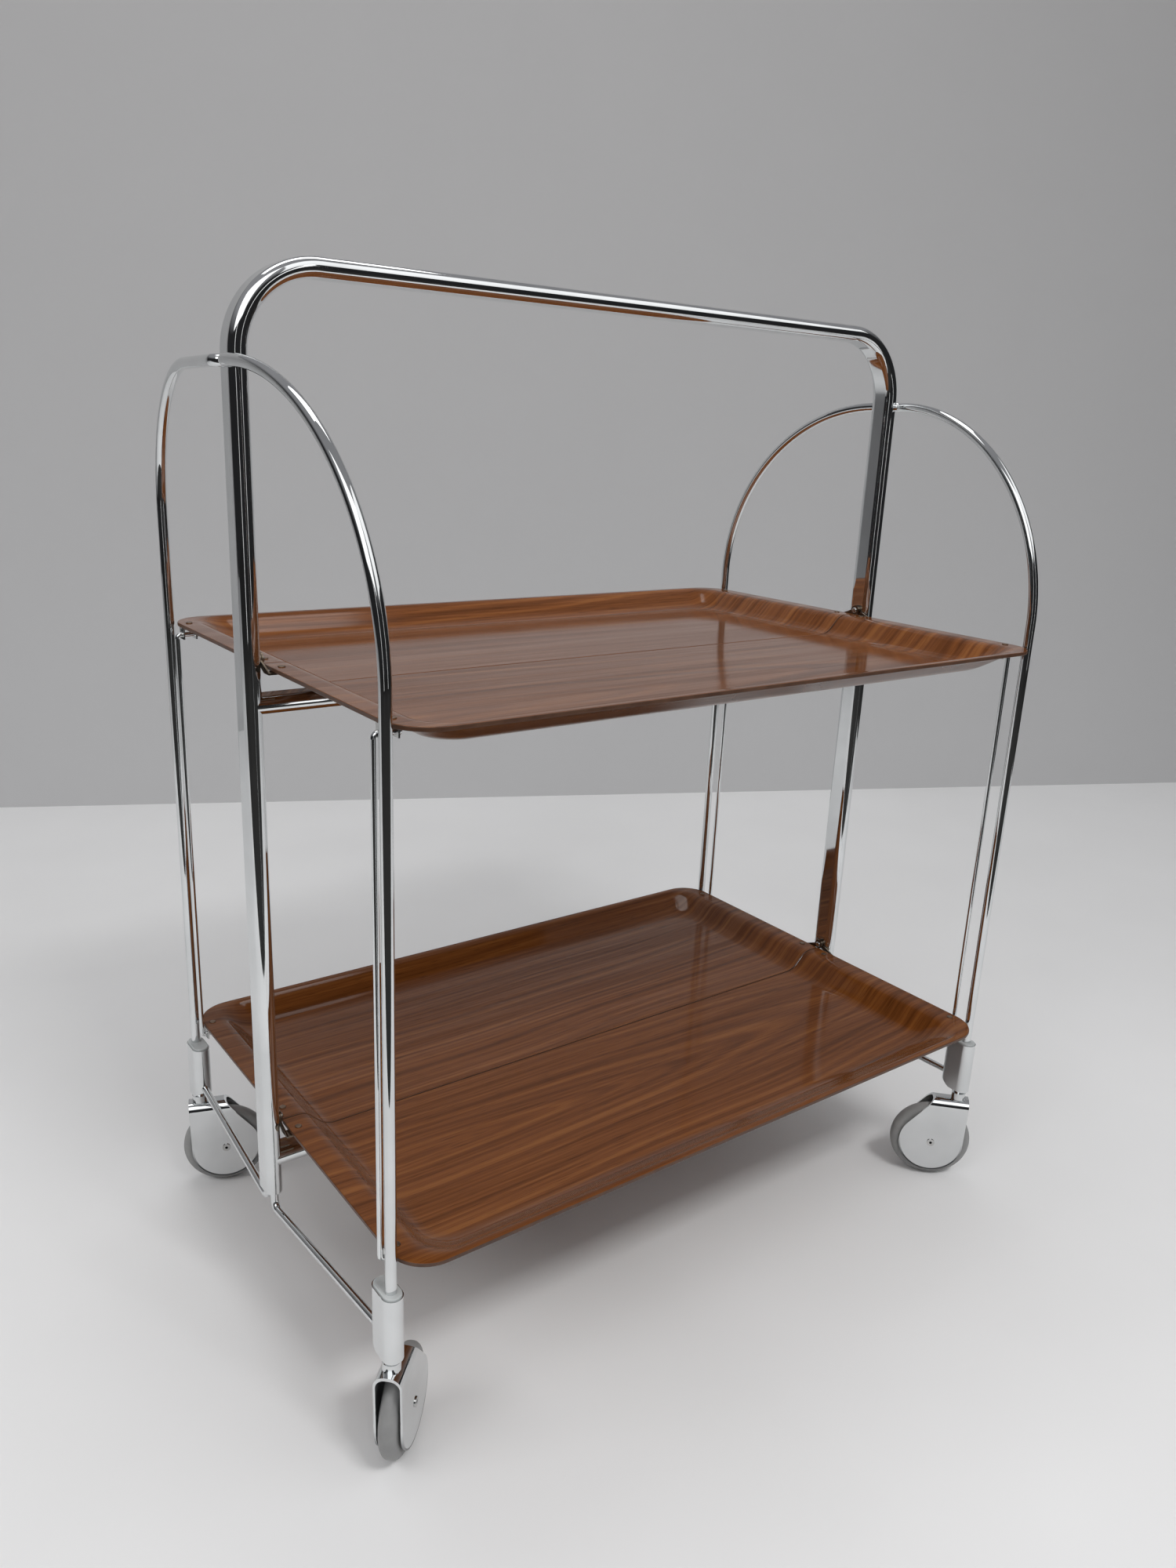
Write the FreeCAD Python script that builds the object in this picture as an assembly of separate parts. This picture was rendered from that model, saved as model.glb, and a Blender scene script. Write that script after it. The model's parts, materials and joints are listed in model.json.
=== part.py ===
import FreeCAD, Part
import math
import os

# Folding serving trolley, millimetres, X along its length, Y across, Z up, floor at zero.

# Main tube: one inverted U of flat oval tube
post_half_spacing = 310.4
tube_thickness = 13.0
tube_depth = 24.0
tube_wall = 1.5
handle_height = 779.0
handle_bend_radius = 56.0
post_bottom = 111.5

# Trays
tray_end_clearance = 4.4
tray_half_depth = 207.4
upper_rim_drop = 253.5
lower_rim_height = 167.8
rim_corner_radius = 29.0
sheet_thickness = 3.0
pan_depth = 17.0
end_lip_width = 19.0
side_lip_width = 6.0
end_wall_run = 17.0
side_wall_run = 25.0
pan_corner_radius = 26.0
floor_corner_radius = 22.0
crease_radius = 5.0
split_gap = 0.8

# Cross bars under the split line
crossbar_drop = 1.2

# Tray hinges at the posts: one pin in each post carries an ear of both tray halves
hinge_rise = 3.5
hinge_pin_radius = 1.8
hinge_head_radius = 2.8
hinge_head_thickness = 1.6
hinge_head_round = 1.2
ear_thickness = 1.3
ear_reach = 20.0
ear_foot_start = 11.0
ear_flange_width = 15.0
ear_gap = 0.4
running_clearance = 0.08
ear_round = 4.6

# Leg gates: arch and leg bent from one rod
gate_rod_radius = 4.0
leg_inset_x = 6.9
leg_inset_y = 16.7
arch_drop = 59.7
gate_hook_radius = 7.0
gate_hook_y = 5.2
gate_hook_depth = 5.0
arch_straight = 14.0
arch_straight_rear_left = 85.0
leg_socket_depth = 18.0

# Sleeves at the foot of each leg
sleeve_width = 15.0
sleeve_length = 28.0
sleeve_outer_reach = 9.0
sleeve_top = 144.0
sleeve_bottom = 94.5
sleeve_chamfer_height = 7.5
sleeve_chamfer_run = 11.0
cap_thickness = 1.5
cap_inset = 0.8

# Bottom brace rods
brace_rod_radius = 3.0
brace_sleeve_height = 106.0
brace_post_height = 97.0
brace_bend_radius = 7.0
brace_post_y = 6.6
brace_post_insert = 16.0
brace_sleeve_insert = 6.0

# Link rods that tie the upper and the lower tray half
link_rod_radius = 2.0
link_outset = 3.3
link_leg_spacing = 16.6
link_pin_drop = 8.5
link_bend_radius = 3.2
link_pin_reach = 2.6
link_head_radius = 2.9
link_head_thickness = 2.2
link_head_round = 1.6
bracket_thickness = 1.2
bracket_inset = 0.3
bracket_width = 11.0
bracket_half_width = 4.5
bracket_below_pin = 3.4
bracket_rivet_inset = 7.4
bracket_rivet_offset = 2.5

# Rivets
rivet_radius = 1.6
rivet_head_radius = 2.6
rivet_head_height = 0.8
ear_rivet_reach = 15.5
ear_rivet_inset = 7.0

# Casters
wheel_radius = 37.5
wheel_width = 13.2
tread_round = 6.0
rim_recess_radius = 25.0
rim_recess_depth = 1.0
caster_trail = 21.0
fork_gap = 17.2
fork_plate_thickness = 1.5
fork_plate_radius = 30.0
fork_top = 84.5
fork_bridge_thickness = 2.4
fork_bridge_front = 10.0
fork_bridge_rear = 21.0
fork_hood_radius = 8.5
stem_radius = 4.5
stem_top = 121.0
stem_collar_radius = 6.5
stem_collar_height = 6.6
axle_radius = 2.5
axle_bore_radius = 1.3
axle_head_radius = 3.6
axle_head_height = 0.8
swivel_front_left = 45.0
swivel_front_right = 134.0
swivel_rear_left = -19.0
swivel_rear_right = 200.0

# Overshoot of every cutting body past the face it cuts, and the length below which two points are one
cut_margin = 1.0
same_place = 0.001

# Places that follow from the sizes above
inner_face = post_half_spacing - tube_thickness / 2
tray_half_length = inner_face - tray_end_clearance
leg_x = post_half_spacing - leg_inset_x
leg_y = tray_half_depth - leg_inset_y
arch_height = handle_height - arch_drop
upper_rim_height = handle_height - upper_rim_drop
link_x = tray_half_length + link_outset
link_y = leg_y - link_leg_spacing
bracket_outer_x = tray_half_length - bracket_inset
bracket_inner_x = bracket_outer_x - bracket_width
link_pin_end = bracket_inner_x - link_pin_reach
bracket_rivet_x = tray_half_length - bracket_rivet_inset
ear_rivet_x = tray_half_length - ear_rivet_inset
front_ear_x = inner_face - ear_gap
rear_ear_x = front_ear_x - ear_thickness - ear_gap
hinge_pin_end = rear_ear_x - ear_thickness - running_clearance - hinge_head_thickness

SIDES = (("left", -1.0), ("right", 1.0))
ENDS = (("front", -1.0), ("rear", 1.0))
LEVELS = (("upper", upper_rim_height), ("lower", lower_rim_height))
EAR_FACES = {"front": front_ear_x, "rear": rear_ear_x}
STRAIGHTS = {
    ("front", "left"): arch_straight,
    ("rear", "right"): arch_straight,
    ("front", "right"): arch_straight,
    ("rear", "left"): arch_straight_rear_left,
}
SWIVELS = {
    ("front", "left"): swivel_front_left,
    ("front", "right"): swivel_front_right,
    ("rear", "left"): swivel_rear_left,
    ("rear", "right"): swivel_rear_right,
}
V = FreeCAD.Vector
UP = V(0, 0, 1)
ALONG = V(1, 0, 0)
os.makedirs("parts", exist_ok=True)


def save(name, shape):
    shape.exportStep("parts/" + name + ".step")
    print(name, len(shape.Solids), "solids", round(shape.Volume))


def group(shapes):
    return Part.makeCompound(shapes)


def rod(center, direction, radius, length):
    return Part.makeCylinder(radius, length, center, direction)


def box(x0, x1, y0, y1, z0, z1):
    low = V(min(x0, x1), min(y0, y1), min(z0, z1))
    return Part.makeBox(abs(x1 - x0), abs(y1 - y0), abs(z1 - z0), low)


def upright_edges(shape):
    return [e for e in shape.Edges if abs(e.tangentAt(e.FirstParameter).z) > 0.9]


def top_long_edges(shape):
    middle = shape.BoundBox.Center.z
    flat = [e for e in shape.Edges if abs(e.tangentAt(e.FirstParameter).x) > 0.9]
    return [e for e in flat if e.BoundBox.ZMin > middle]


def far_circle(cylinder, direction):
    # The rim of a turned piece that lies furthest in the direction
    circles = [e for e in cylinder.Edges if isinstance(e.Curve, Part.Circle)]
    return max(circles, key=lambda e: e.Curve.Center.dot(direction))


def rounded_rectangle(half_x, half_y, radius, z):
    slab = Part.makeBox(2 * half_x, 2 * half_y, radius, V(-half_x, -half_y, z))
    slab = slab.makeFillet(radius, upright_edges(slab))
    lowest = min(slab.Faces, key=lambda face: face.CenterOfMass.z)
    return lowest.OuterWire


def flat_oval(center, normal, wide, thick, wide_axis):
    # Stadium outline: two half rounds joined by straight sides
    cross = normal.cross(wide_axis)
    r = thick / 2
    half = (wide - thick) / 2
    a = center + wide_axis * half + cross * r
    b = center - wide_axis * half + cross * r
    c = center - wide_axis * half - cross * r
    d = center + wide_axis * half - cross * r
    near = center - wide_axis * (half + r)
    far = center + wide_axis * (half + r)
    return Part.Wire([
        Part.makeLine(a, b),
        Part.Arc(b, near, c).toShape(),
        Part.makeLine(c, d),
        Part.Arc(d, far, a).toShape(),
    ])


def bent_path(points, radii):
    # Straight runs through the points, each inner corner rounded with its own radius
    edges = []
    start = points[0]
    for i in range(1, len(points) - 1):
        corner = points[i]
        back = (points[i - 1] - corner).normalize()
        ahead = (points[i + 1] - corner).normalize()
        half_angle = back.getAngle(ahead) / 2
        trim = radii[i - 1] / math.tan(half_angle)
        enter = corner + back * trim
        leave = corner + ahead * trim
        middle_line = (back + ahead).normalize()
        center = corner + middle_line * (radii[i - 1] / math.sin(half_angle))
        middle = center - middle_line * radii[i - 1]
        if (enter - start).Length > same_place:
            edges.append(Part.makeLine(start, enter))
        edges.append(Part.Arc(enter, middle, leave).toShape())
        start = leave
    edges.append(Part.makeLine(start, points[-1]))
    return Part.Wire(edges)


def bent_rod(points, radii, radius):
    path = bent_path(points, radii)
    heading = (points[1] - points[0]).normalize()
    ring = Part.Wire([Part.makeCircle(radius, points[0], heading)])
    return path.makePipeShell([ring], True, True)


def rivet(x, y, top, bottom):
    # Shank through the sheets with a low domed head at each end
    shank = rod(V(x, y, bottom), UP, rivet_radius, top - bottom)
    head = rod(V(x, y, top), UP, rivet_head_radius, rivet_head_height)
    head = head.makeFillet(rivet_head_height * 0.7, [far_circle(head, UP)])
    tail = rod(V(x, y, bottom - rivet_head_height), UP, rivet_head_radius, rivet_head_height)
    return shank.fuse([head, tail]).removeSplitter()


# Main tube with its two posts and the handle
def main_tube_body(wide, thick, cap):
    corners = [
        V(-post_half_spacing, 0, post_bottom - cap),
        V(-post_half_spacing, 0, handle_height),
        V(post_half_spacing, 0, handle_height),
        V(post_half_spacing, 0, post_bottom - cap),
    ]
    path = bent_path(corners, [handle_bend_radius, handle_bend_radius])
    outline = flat_oval(corners[0], UP, wide, thick, V(0, 1, 0))
    return path.makePipeShell([outline], True, True)


tube_outside = main_tube_body(tube_depth, tube_thickness, 0.0)
hollow_depth = tube_depth - 2 * tube_wall
hollow_thickness = tube_thickness - 2 * tube_wall
main_tube = tube_outside.cut(main_tube_body(hollow_depth, hollow_thickness, cut_margin))

# Leg gates: hook into the post, quarter arch, straight leg
hook_x = post_half_spacing + tube_thickness / 2 + gate_rod_radius
leg_end = sleeve_top - leg_socket_depth
for side, sx in SIDES:
    for end, ey in ENDS:
        arch_radius = leg_y - STRAIGHTS[(end, side)]
        inside = V(sx * (hook_x - gate_rod_radius - gate_hook_depth), ey * gate_hook_y, arch_height)
        elbow = V(sx * hook_x, ey * gate_hook_y, arch_height)
        shoulder = V(sx * leg_x, ey * leg_y, arch_height)
        foot = V(sx * leg_x, ey * leg_y, leg_end)
        bends = [gate_hook_radius, arch_radius]
        gate = bent_rod([inside, elbow, shoulder, foot], bends, gate_rod_radius)
        main_tube = main_tube.cut(gate)
        save("gate_rod_" + end + "_" + side, gate)

# Hinge pins, each set in the wall of its post, with a domed head inside the ears
for level, rim in LEVELS:
    pins = []
    for side, sx in SIDES:
        inward = ALONG * -sx
        seat = V(sx * (inner_face + tube_wall), 0, rim + hinge_rise)
        pin = rod(seat, inward, hinge_pin_radius, inner_face + tube_wall - hinge_pin_end)
        main_tube = main_tube.cut(pin)
        head_start = V(sx * (hinge_pin_end + hinge_head_thickness), 0, rim + hinge_rise)
        head = rod(head_start, inward, hinge_head_radius, hinge_head_thickness)
        head = head.makeFillet(hinge_head_round, [far_circle(head, inward)])
        pins.append(pin.fuse(head).removeSplitter())
    save("hinge_pins_" + level, group(pins))
save("main_tube", main_tube)

# Cross bars from post to post, flat under the tray split, their ends cut to the round of the posts
tray_underside = pan_depth + sheet_thickness
for level, rim in LEVELS:
    middle = rim - tray_underside - crossbar_drop - tube_thickness / 2
    begin = V(-post_half_spacing, 0, middle)
    outer = Part.Face(flat_oval(begin, ALONG, tube_depth, tube_thickness, V(0, 1, 0)))
    hollow = Part.Face(flat_oval(begin, ALONG, hollow_depth, hollow_thickness, V(0, 1, 0)))
    bar_run = ALONG * 2 * post_half_spacing
    bar = outer.extrude(bar_run).cut(hollow.extrude(bar_run))
    save("crossbar_" + level, bar.cut(tube_outside))

# Sleeves, their caps and the brace rods
sleeve_inner_y = leg_y + sleeve_outer_reach - sleeve_length
sleeve_center_y = leg_y + sleeve_outer_reach - sleeve_length / 2
caps = []
for side, sx in SIDES:
    for end, ey in ENDS:
        base = V(sx * leg_x, ey * sleeve_center_y, sleeve_bottom)
        outline = Part.Face(flat_oval(base, UP, sleeve_length, sleeve_width, V(0, 1, 0)))
        sleeve = outline.extrude(UP * (sleeve_top - sleeve_bottom))
        # Slanted cut at the foot of the sleeve, on the side towards the post
        cut_slope = sleeve_chamfer_height / sleeve_chamfer_run
        near_y = sleeve_inner_y - cut_margin
        far_y = sleeve_inner_y + sleeve_chamfer_run + cut_margin / cut_slope
        slope_top = sleeve_bottom + sleeve_chamfer_height + cut_slope * cut_margin
        corner = [
            V(sx * leg_x - sleeve_width, ey * near_y, sleeve_bottom - cut_margin),
            V(sx * leg_x - sleeve_width, ey * far_y, sleeve_bottom - cut_margin),
            V(sx * leg_x - sleeve_width, ey * near_y, slope_top),
        ]
        wedge = Part.Face(Part.makePolygon(corner + [corner[0]]))
        sleeve = sleeve.cut(wedge.extrude(ALONG * 2 * sleeve_width))
        leg_seat = V(sx * leg_x, ey * leg_y, leg_end)
        sleeve = sleeve.cut(rod(leg_seat, UP, gate_rod_radius, leg_socket_depth + cut_margin))
        stem_mouth = V(sx * leg_x, ey * leg_y, sleeve_bottom - cut_margin)
        socket_radius = stem_radius + running_clearance
        socket_height = stem_top + running_clearance - sleeve_bottom + cut_margin
        sleeve = sleeve.cut(rod(stem_mouth, UP, socket_radius, socket_height))
        brace_in = V(sx * leg_x, ey * (sleeve_inner_y + brace_sleeve_insert), brace_sleeve_height)
        brace_low = V(sx * post_half_spacing, ey * brace_post_y, brace_post_height)
        brace_up = V(sx * post_half_spacing, ey * brace_post_y, post_bottom + brace_post_insert)
        brace = bent_rod([brace_in, brace_low, brace_up], [brace_bend_radius], brace_rod_radius)
        sleeve = sleeve.cut(brace)
        save("sleeve_" + end + "_" + side, sleeve)
        save("brace_rod_" + end + "_" + side, brace)
        top = V(sx * leg_x, ey * sleeve_center_y, sleeve_top)
        cap_length = sleeve_length - 2 * cap_inset
        cap_width = sleeve_width - 2 * cap_inset
        cap_outline = flat_oval(top, UP, cap_length, cap_width, V(0, 1, 0))
        cap = Part.Face(cap_outline).extrude(UP * cap_thickness)
        upper_edges = [e for e in cap.Edges if e.BoundBox.ZMin > sleeve_top + cap_thickness / 2]
        cap = cap.makeFillet(cap_inset, upper_edges)
        hole_start = V(sx * leg_x, ey * leg_y, sleeve_top - cut_margin)
        caps.append(cap.cut(rod(hole_start, UP, gate_rod_radius, cap_thickness + 2 * cut_margin)))
save("sleeve_caps", group(caps))


# Tray halves: pressed sheet with flat end lips and sloping walls
def whole_tray():
    pan_x = tray_half_length - end_lip_width
    pan_y = tray_half_depth - side_lip_width
    floor_x = pan_x - end_wall_run
    floor_y = pan_y - side_wall_run
    rim = rounded_rectangle(tray_half_length, tray_half_depth, rim_corner_radius, -sheet_thickness)
    lip = Part.Face(rim).extrude(UP * sheet_thickness)
    pans = []
    for drop, round_by in ((0.0, crease_radius), (-sheet_thickness, crease_radius + sheet_thickness)):
        mouth = rounded_rectangle(pan_x, pan_y, pan_corner_radius, drop)
        floor = rounded_rectangle(floor_x, floor_y, floor_corner_radius, drop - pan_depth)
        pan = Part.makeLoft([mouth, floor], True, True)
        low = drop - pan_depth + same_place
        pan = pan.makeFillet(round_by, [e for e in pan.Edges if e.BoundBox.ZMax < low])
        pans.append(pan)
    return lip.fuse(pans[1]).cut(pans[0]).removeSplitter()


split_edge = -split_gap / 2
front_side = box(-tray_half_length, tray_half_length, -tray_half_depth, split_edge, -tray_underside, 0)
front_half = whole_tray().common(front_side)
rear_half = front_half.copy()
rear_half.rotate(V(0, 0, 0), UP, 180)
for level, rim in LEVELS:
    for end, ey in ENDS:
        sheet = (front_half if end == "front" else rear_half).copy()
        sheet.translate(V(0, 0, rim))
        ears = []
        brackets = []
        rivets = []
        shanks = []
        for side, sx in SIDES:
            # Ear beside the end of the lip: a slanted strap bored for the hinge pin, its foot folded under the lip
            under = rim - sheet_thickness
            ear_foot = under - ear_thickness
            ear_x = EAR_FACES[end]
            axis = V(sx * ear_x, 0, rim + hinge_rise)
            strap = [
                V(sx * ear_x, -ey * ear_round, axis.z),
                V(sx * ear_x, ey * ear_round, axis.z),
                V(sx * ear_x, ey * ear_reach, under),
                V(sx * ear_x, ey * ear_reach, ear_foot),
                V(sx * ear_x, ey * ear_foot_start, ear_foot),
            ]
            blade = Part.Face(Part.makePolygon(strap + [strap[0]])).extrude(ALONG * (-sx * ear_thickness))
            blade = blade.fuse(rod(axis, ALONG * -sx, ear_round, ear_thickness))
            flange_end = ear_x - ear_flange_width
            flange = box(sx * ear_x, sx * flange_end, ey * ear_foot_start, ey * ear_reach, ear_foot, under)
            pin_room = rod(axis, ALONG * -sx, hinge_pin_radius + running_clearance, ear_thickness)
            ear = blade.fuse(flange).cut(pin_room).removeSplitter()
            # Channel bracket under the corner of the lip, both cheeks bored for the link rod
            pin_z = rim - link_pin_drop
            leaf = under - bracket_thickness
            bracket_y0 = ey * link_y - bracket_half_width
            bracket_y1 = ey * link_y + bracket_half_width
            block = box(sx * bracket_outer_x, sx * bracket_inner_x,
                        bracket_y0, bracket_y1, under, pin_z - bracket_below_pin)
            inside = box(sx * (bracket_outer_x - bracket_thickness), sx * (bracket_inner_x + bracket_thickness),
                         bracket_y0, bracket_y1, leaf, pin_z - bracket_below_pin)
            hole = rod(V(sx * bracket_outer_x, ey * link_y, pin_z), ALONG * -sx,
                       link_rod_radius + running_clearance, bracket_width)
            bracket = block.cut([inside, hole])
            # One rivet through the lip for each of them
            riveted = (
                (bracket_rivet_x, link_y + bracket_rivet_offset, leaf),
                (ear_rivet_x, ear_rivet_reach, ear_foot),
            )
            for x, y, bottom in riveted:
                rivets.append(rivet(sx * x, ey * y, rim, bottom))
                shank_start = V(sx * x, ey * y, rim - pan_depth)
                shanks.append(rod(shank_start, UP, rivet_radius, 2 * pan_depth))
            ears.append(ear)
            brackets.append(bracket)
        sheet = sheet.cut(shanks)
        tail = "_" + level + "_" + end
        save("tray" + tail, sheet)
        save("tray_ears" + tail, group([e.cut(shanks) for e in ears]))
        save("link_brackets" + tail, group([b.cut(shanks) for b in brackets]))
        save("tray_rivets" + tail, group(rivets))

# Link rods with both ends bent in under the tray corners
for side, sx in SIDES:
    for end, ey in ENDS:
        top_z = upper_rim_height - link_pin_drop
        low_z = lower_rim_height - link_pin_drop
        run = [
            V(sx * link_pin_end, ey * link_y, top_z),
            V(sx * link_x, ey * link_y, top_z),
            V(sx * link_x, ey * link_y, low_z),
            V(sx * link_pin_end, ey * link_y, low_z),
        ]
        link = bent_rod(run, [link_bend_radius, link_bend_radius], link_rod_radius)
        for z in (top_z, low_z):
            start = V(sx * link_pin_end, ey * link_y, z)
            head = rod(start, ALONG * sx, link_head_radius, link_head_thickness)
            link = link.fuse(head.makeFillet(link_head_round, [far_circle(head, ALONG * -sx)]))
        save("link_rod_" + end + "_" + side, link.removeSplitter())


# Casters, drawn trailing along +X from the swivel axis at the origin, then turned
def fork_shape():
    # Hood of channel section trimmed to a plate outline: a disc with tangents up to a straight top
    half_gap = fork_gap / 2
    width = half_gap + fork_plate_thickness
    disc = V(caster_trail, 0, wheel_radius)
    front_top = V(-fork_bridge_front, 0, fork_top)
    rear_top = V(fork_bridge_rear, 0, fork_top)
    touch = []
    for top, turn in ((front_top, 1.0), (rear_top, -1.0)):
        reach = top - disc
        angle = math.atan2(reach.z, reach.x) + turn * math.acos(fork_plate_radius / reach.Length)
        touch.append(disc + V(math.cos(angle), 0, math.sin(angle)) * fork_plate_radius)
    outline = Part.Wire([
        Part.makeLine(front_top, rear_top),
        Part.makeLine(rear_top, touch[1]),
        Part.Arc(touch[1], disc - UP * fork_plate_radius, touch[0]).toShape(),
        Part.makeLine(touch[0], front_top),
    ])
    cheeks = Part.Face(outline).extrude(V(0, 2 * width, 0))
    cheeks.translate(V(0, -width, 0))
    front_x = -fork_bridge_front - fork_plate_radius
    rear_x = caster_trail + 2 * fork_plate_radius
    hood = box(front_x, rear_x, -width, width, 0, fork_top)
    room = box(front_x, rear_x, -half_gap, half_gap, 0, fork_top - fork_bridge_thickness)
    hood = hood.makeFillet(fork_hood_radius, top_long_edges(hood))
    room = room.makeFillet(fork_hood_radius - fork_plate_thickness, top_long_edges(room))
    fork = cheeks.common(hood.cut(room))
    collar = rod(V(0, 0, fork_top), UP, stem_collar_radius, stem_collar_height)
    stem = rod(V(0, 0, fork_top), UP, stem_radius, stem_top - fork_top)
    fork = fork.fuse([collar, stem]).removeSplitter()
    start = V(caster_trail, -width - cut_margin, wheel_radius)
    return fork.cut(rod(start, V(0, 1, 0), axle_radius, 2 * (width + cut_margin)))


def axle_shape():
    width = fork_gap / 2 + fork_plate_thickness
    across = V(0, 1, 0)
    outer = width + axle_head_height
    pin = rod(V(caster_trail, -width, wheel_radius), across, axle_radius, 2 * width)
    heads = []
    for y in (-outer, width):
        heads.append(rod(V(caster_trail, y, wheel_radius), across, axle_head_radius, axle_head_height))
    bore = rod(V(caster_trail, -outer, wheel_radius), across, axle_bore_radius, 2 * outer)
    return pin.fuse(heads).removeSplitter().cut(bore)


def wheel_shape():
    # Grey wheel turned about its axle: rounded tread, shallow recess each side
    half = wheel_width / 2
    bore_radius = axle_radius + running_clearance
    profile = Part.makePolygon([
        V(bore_radius, -half + rim_recess_depth, 0),
        V(rim_recess_radius, -half + rim_recess_depth, 0),
        V(rim_recess_radius + rim_recess_depth, -half, 0),
        V(wheel_radius, -half, 0),
        V(wheel_radius, half, 0),
        V(rim_recess_radius + rim_recess_depth, half, 0),
        V(rim_recess_radius, half - rim_recess_depth, 0),
        V(bore_radius, half - rim_recess_depth, 0),
        V(bore_radius, -half + rim_recess_depth, 0),
    ])
    wheel = Part.Face(profile).revolve(V(0, 0, 0), V(0, 1, 0), 360)
    circles = [e for e in wheel.Edges if isinstance(e.Curve, Part.Circle)]
    rounded = [e for e in circles if e.Curve.Radius > rim_recess_radius + 2 * rim_recess_depth]
    wheel = wheel.makeFillet(tread_round, rounded)
    wheel.translate(V(caster_trail, 0, wheel_radius))
    return wheel


for name, shape in (("fork", fork_shape()), ("axle", axle_shape()), ("wheel", wheel_shape())):
    for side, sx in SIDES:
        for end, ey in ENDS:
            copy = shape.copy()
            copy.rotate(V(0, 0, 0), UP, SWIVELS[(end, side)])
            copy.translate(V(sx * leg_x, ey * leg_y, 0))
            save("caster_" + name + "_" + end + "_" + side, copy)
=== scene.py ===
# %% [markdown]
# # Folding serving trolley
# The imported CAD model arrives as a fixed frame: every tube, rod, hinge and caster already stands where
# it belongs. This script gives each of them a finish, bends the tubes and presses the four tray halves
# again with finer curves, and sets up a plain studio. The CAD box is kept at once.

# %% Load the frame
import json
import math
import bmesh
import bpy
from mathutils import Matrix, Quaternion, Vector


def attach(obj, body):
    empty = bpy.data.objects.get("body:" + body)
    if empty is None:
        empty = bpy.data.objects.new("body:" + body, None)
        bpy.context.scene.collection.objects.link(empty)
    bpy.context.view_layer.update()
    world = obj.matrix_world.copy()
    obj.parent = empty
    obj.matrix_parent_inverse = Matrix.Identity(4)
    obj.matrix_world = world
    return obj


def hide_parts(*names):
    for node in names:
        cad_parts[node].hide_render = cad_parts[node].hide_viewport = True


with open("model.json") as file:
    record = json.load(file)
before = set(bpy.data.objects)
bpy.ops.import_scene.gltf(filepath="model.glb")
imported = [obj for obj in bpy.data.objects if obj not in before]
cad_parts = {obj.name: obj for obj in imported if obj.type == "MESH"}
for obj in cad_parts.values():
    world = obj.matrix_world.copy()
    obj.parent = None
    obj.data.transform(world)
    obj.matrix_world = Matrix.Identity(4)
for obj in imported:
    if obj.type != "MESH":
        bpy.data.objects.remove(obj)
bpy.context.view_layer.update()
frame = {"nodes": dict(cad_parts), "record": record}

nodes = frame["nodes"]

# %% [markdown]
# ## Small helpers for shader nodes
# A material is a little circuit. It could be wired by hand in the shader editor, but short helpers keep
# each finish readable as text: one makes a node and sets its plain values, one joins two sockets, one
# starts a material with a Principled shader.

# %% Shader helpers
def add_node(tree, kind, **settings):
    # A setting is a property of the node or, with spaces for underscores, one of its inputs
    node = tree.nodes.new(kind)
    for name, value in settings.items():
        if hasattr(node, name):
            setattr(node, name, value)
        else:
            node.inputs[name.replace("_", " ")].default_value = value
    return node


def join(tree, source, target):
    tree.links.new(source, target)


def start_material(name):
    material = bpy.data.materials.new(name)
    material.use_nodes = True
    tree = material.node_tree
    tree.nodes.clear()
    shader = add_node(tree, "ShaderNodeBsdfPrincipled")
    output = add_node(tree, "ShaderNodeOutputMaterial")
    join(tree, shader.outputs["BSDF"], output.inputs["Surface"])
    return material, tree, shader


# %% [markdown]
# ## Node groups
# Some effects appear in many finishes. A node group is built once, with named inputs and outputs, and is
# then placed in each material with that material's own values.

# %% Group helpers
def start_group(name, inputs, outputs):
    group = bpy.data.node_groups.new(name, "ShaderNodeTree")
    for label, kind, value in inputs:
        socket = group.interface.new_socket(label, in_out="INPUT", socket_type=kind)
        if value is not None:
            socket.default_value = value
    for label, kind in outputs:
        group.interface.new_socket(label, in_out="OUTPUT", socket_type=kind)
    return group, add_node(group, "NodeGroupInput"), add_node(group, "NodeGroupOutput")


def place_group(tree, group, **values):
    return add_node(tree, "ShaderNodeGroup", node_tree=group, **values)


# %% [markdown]
# ## Handling marks, shared by every finish
# A used trolley is never evenly shiny: fingers leave soft smudges, cloths leave hairlines. Both could be
# painted, but as small noises they need no picture. "Smudge" is a slow cloudy value for colour and
# roughness, and "Hairlines" is a fine stretched height for a bump. Each material chooses its own scale.

# %% Handling marks group
hairline_stretch = (1.0, 1.0, 0.03)
marks, marks_in, marks_out = start_group(
    "HandlingMarks",
    [("Vector", "NodeSocketVector", None), ("Smudge Scale", "NodeSocketFloat", 18.0),
     ("Hairline Scale", "NodeSocketFloat", 900.0)],
    [("Smudge", "NodeSocketFloat"), ("Hairlines", "NodeSocketFloat")])
cloud = add_node(marks, "ShaderNodeTexNoise", Detail=3.0, Roughness=0.6)
join(marks, marks_in.outputs["Vector"], cloud.inputs["Vector"])
join(marks, marks_in.outputs["Smudge Scale"], cloud.inputs["Scale"])
stretch = add_node(marks, "ShaderNodeMapping", Scale=hairline_stretch)
hair = add_node(marks, "ShaderNodeTexNoise", Detail=2.0)
join(marks, marks_in.outputs["Vector"], stretch.inputs["Vector"])
join(marks, stretch.outputs["Vector"], hair.inputs["Vector"])
join(marks, marks_in.outputs["Hairline Scale"], hair.inputs["Scale"])
join(marks, cloud.outputs["Fac"], marks_out.inputs["Smudge"])
join(marks, hair.outputs["Fac"], marks_out.inputs["Hairlines"])
print("group", marks.name, "with", len(marks.nodes), "nodes")

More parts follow.
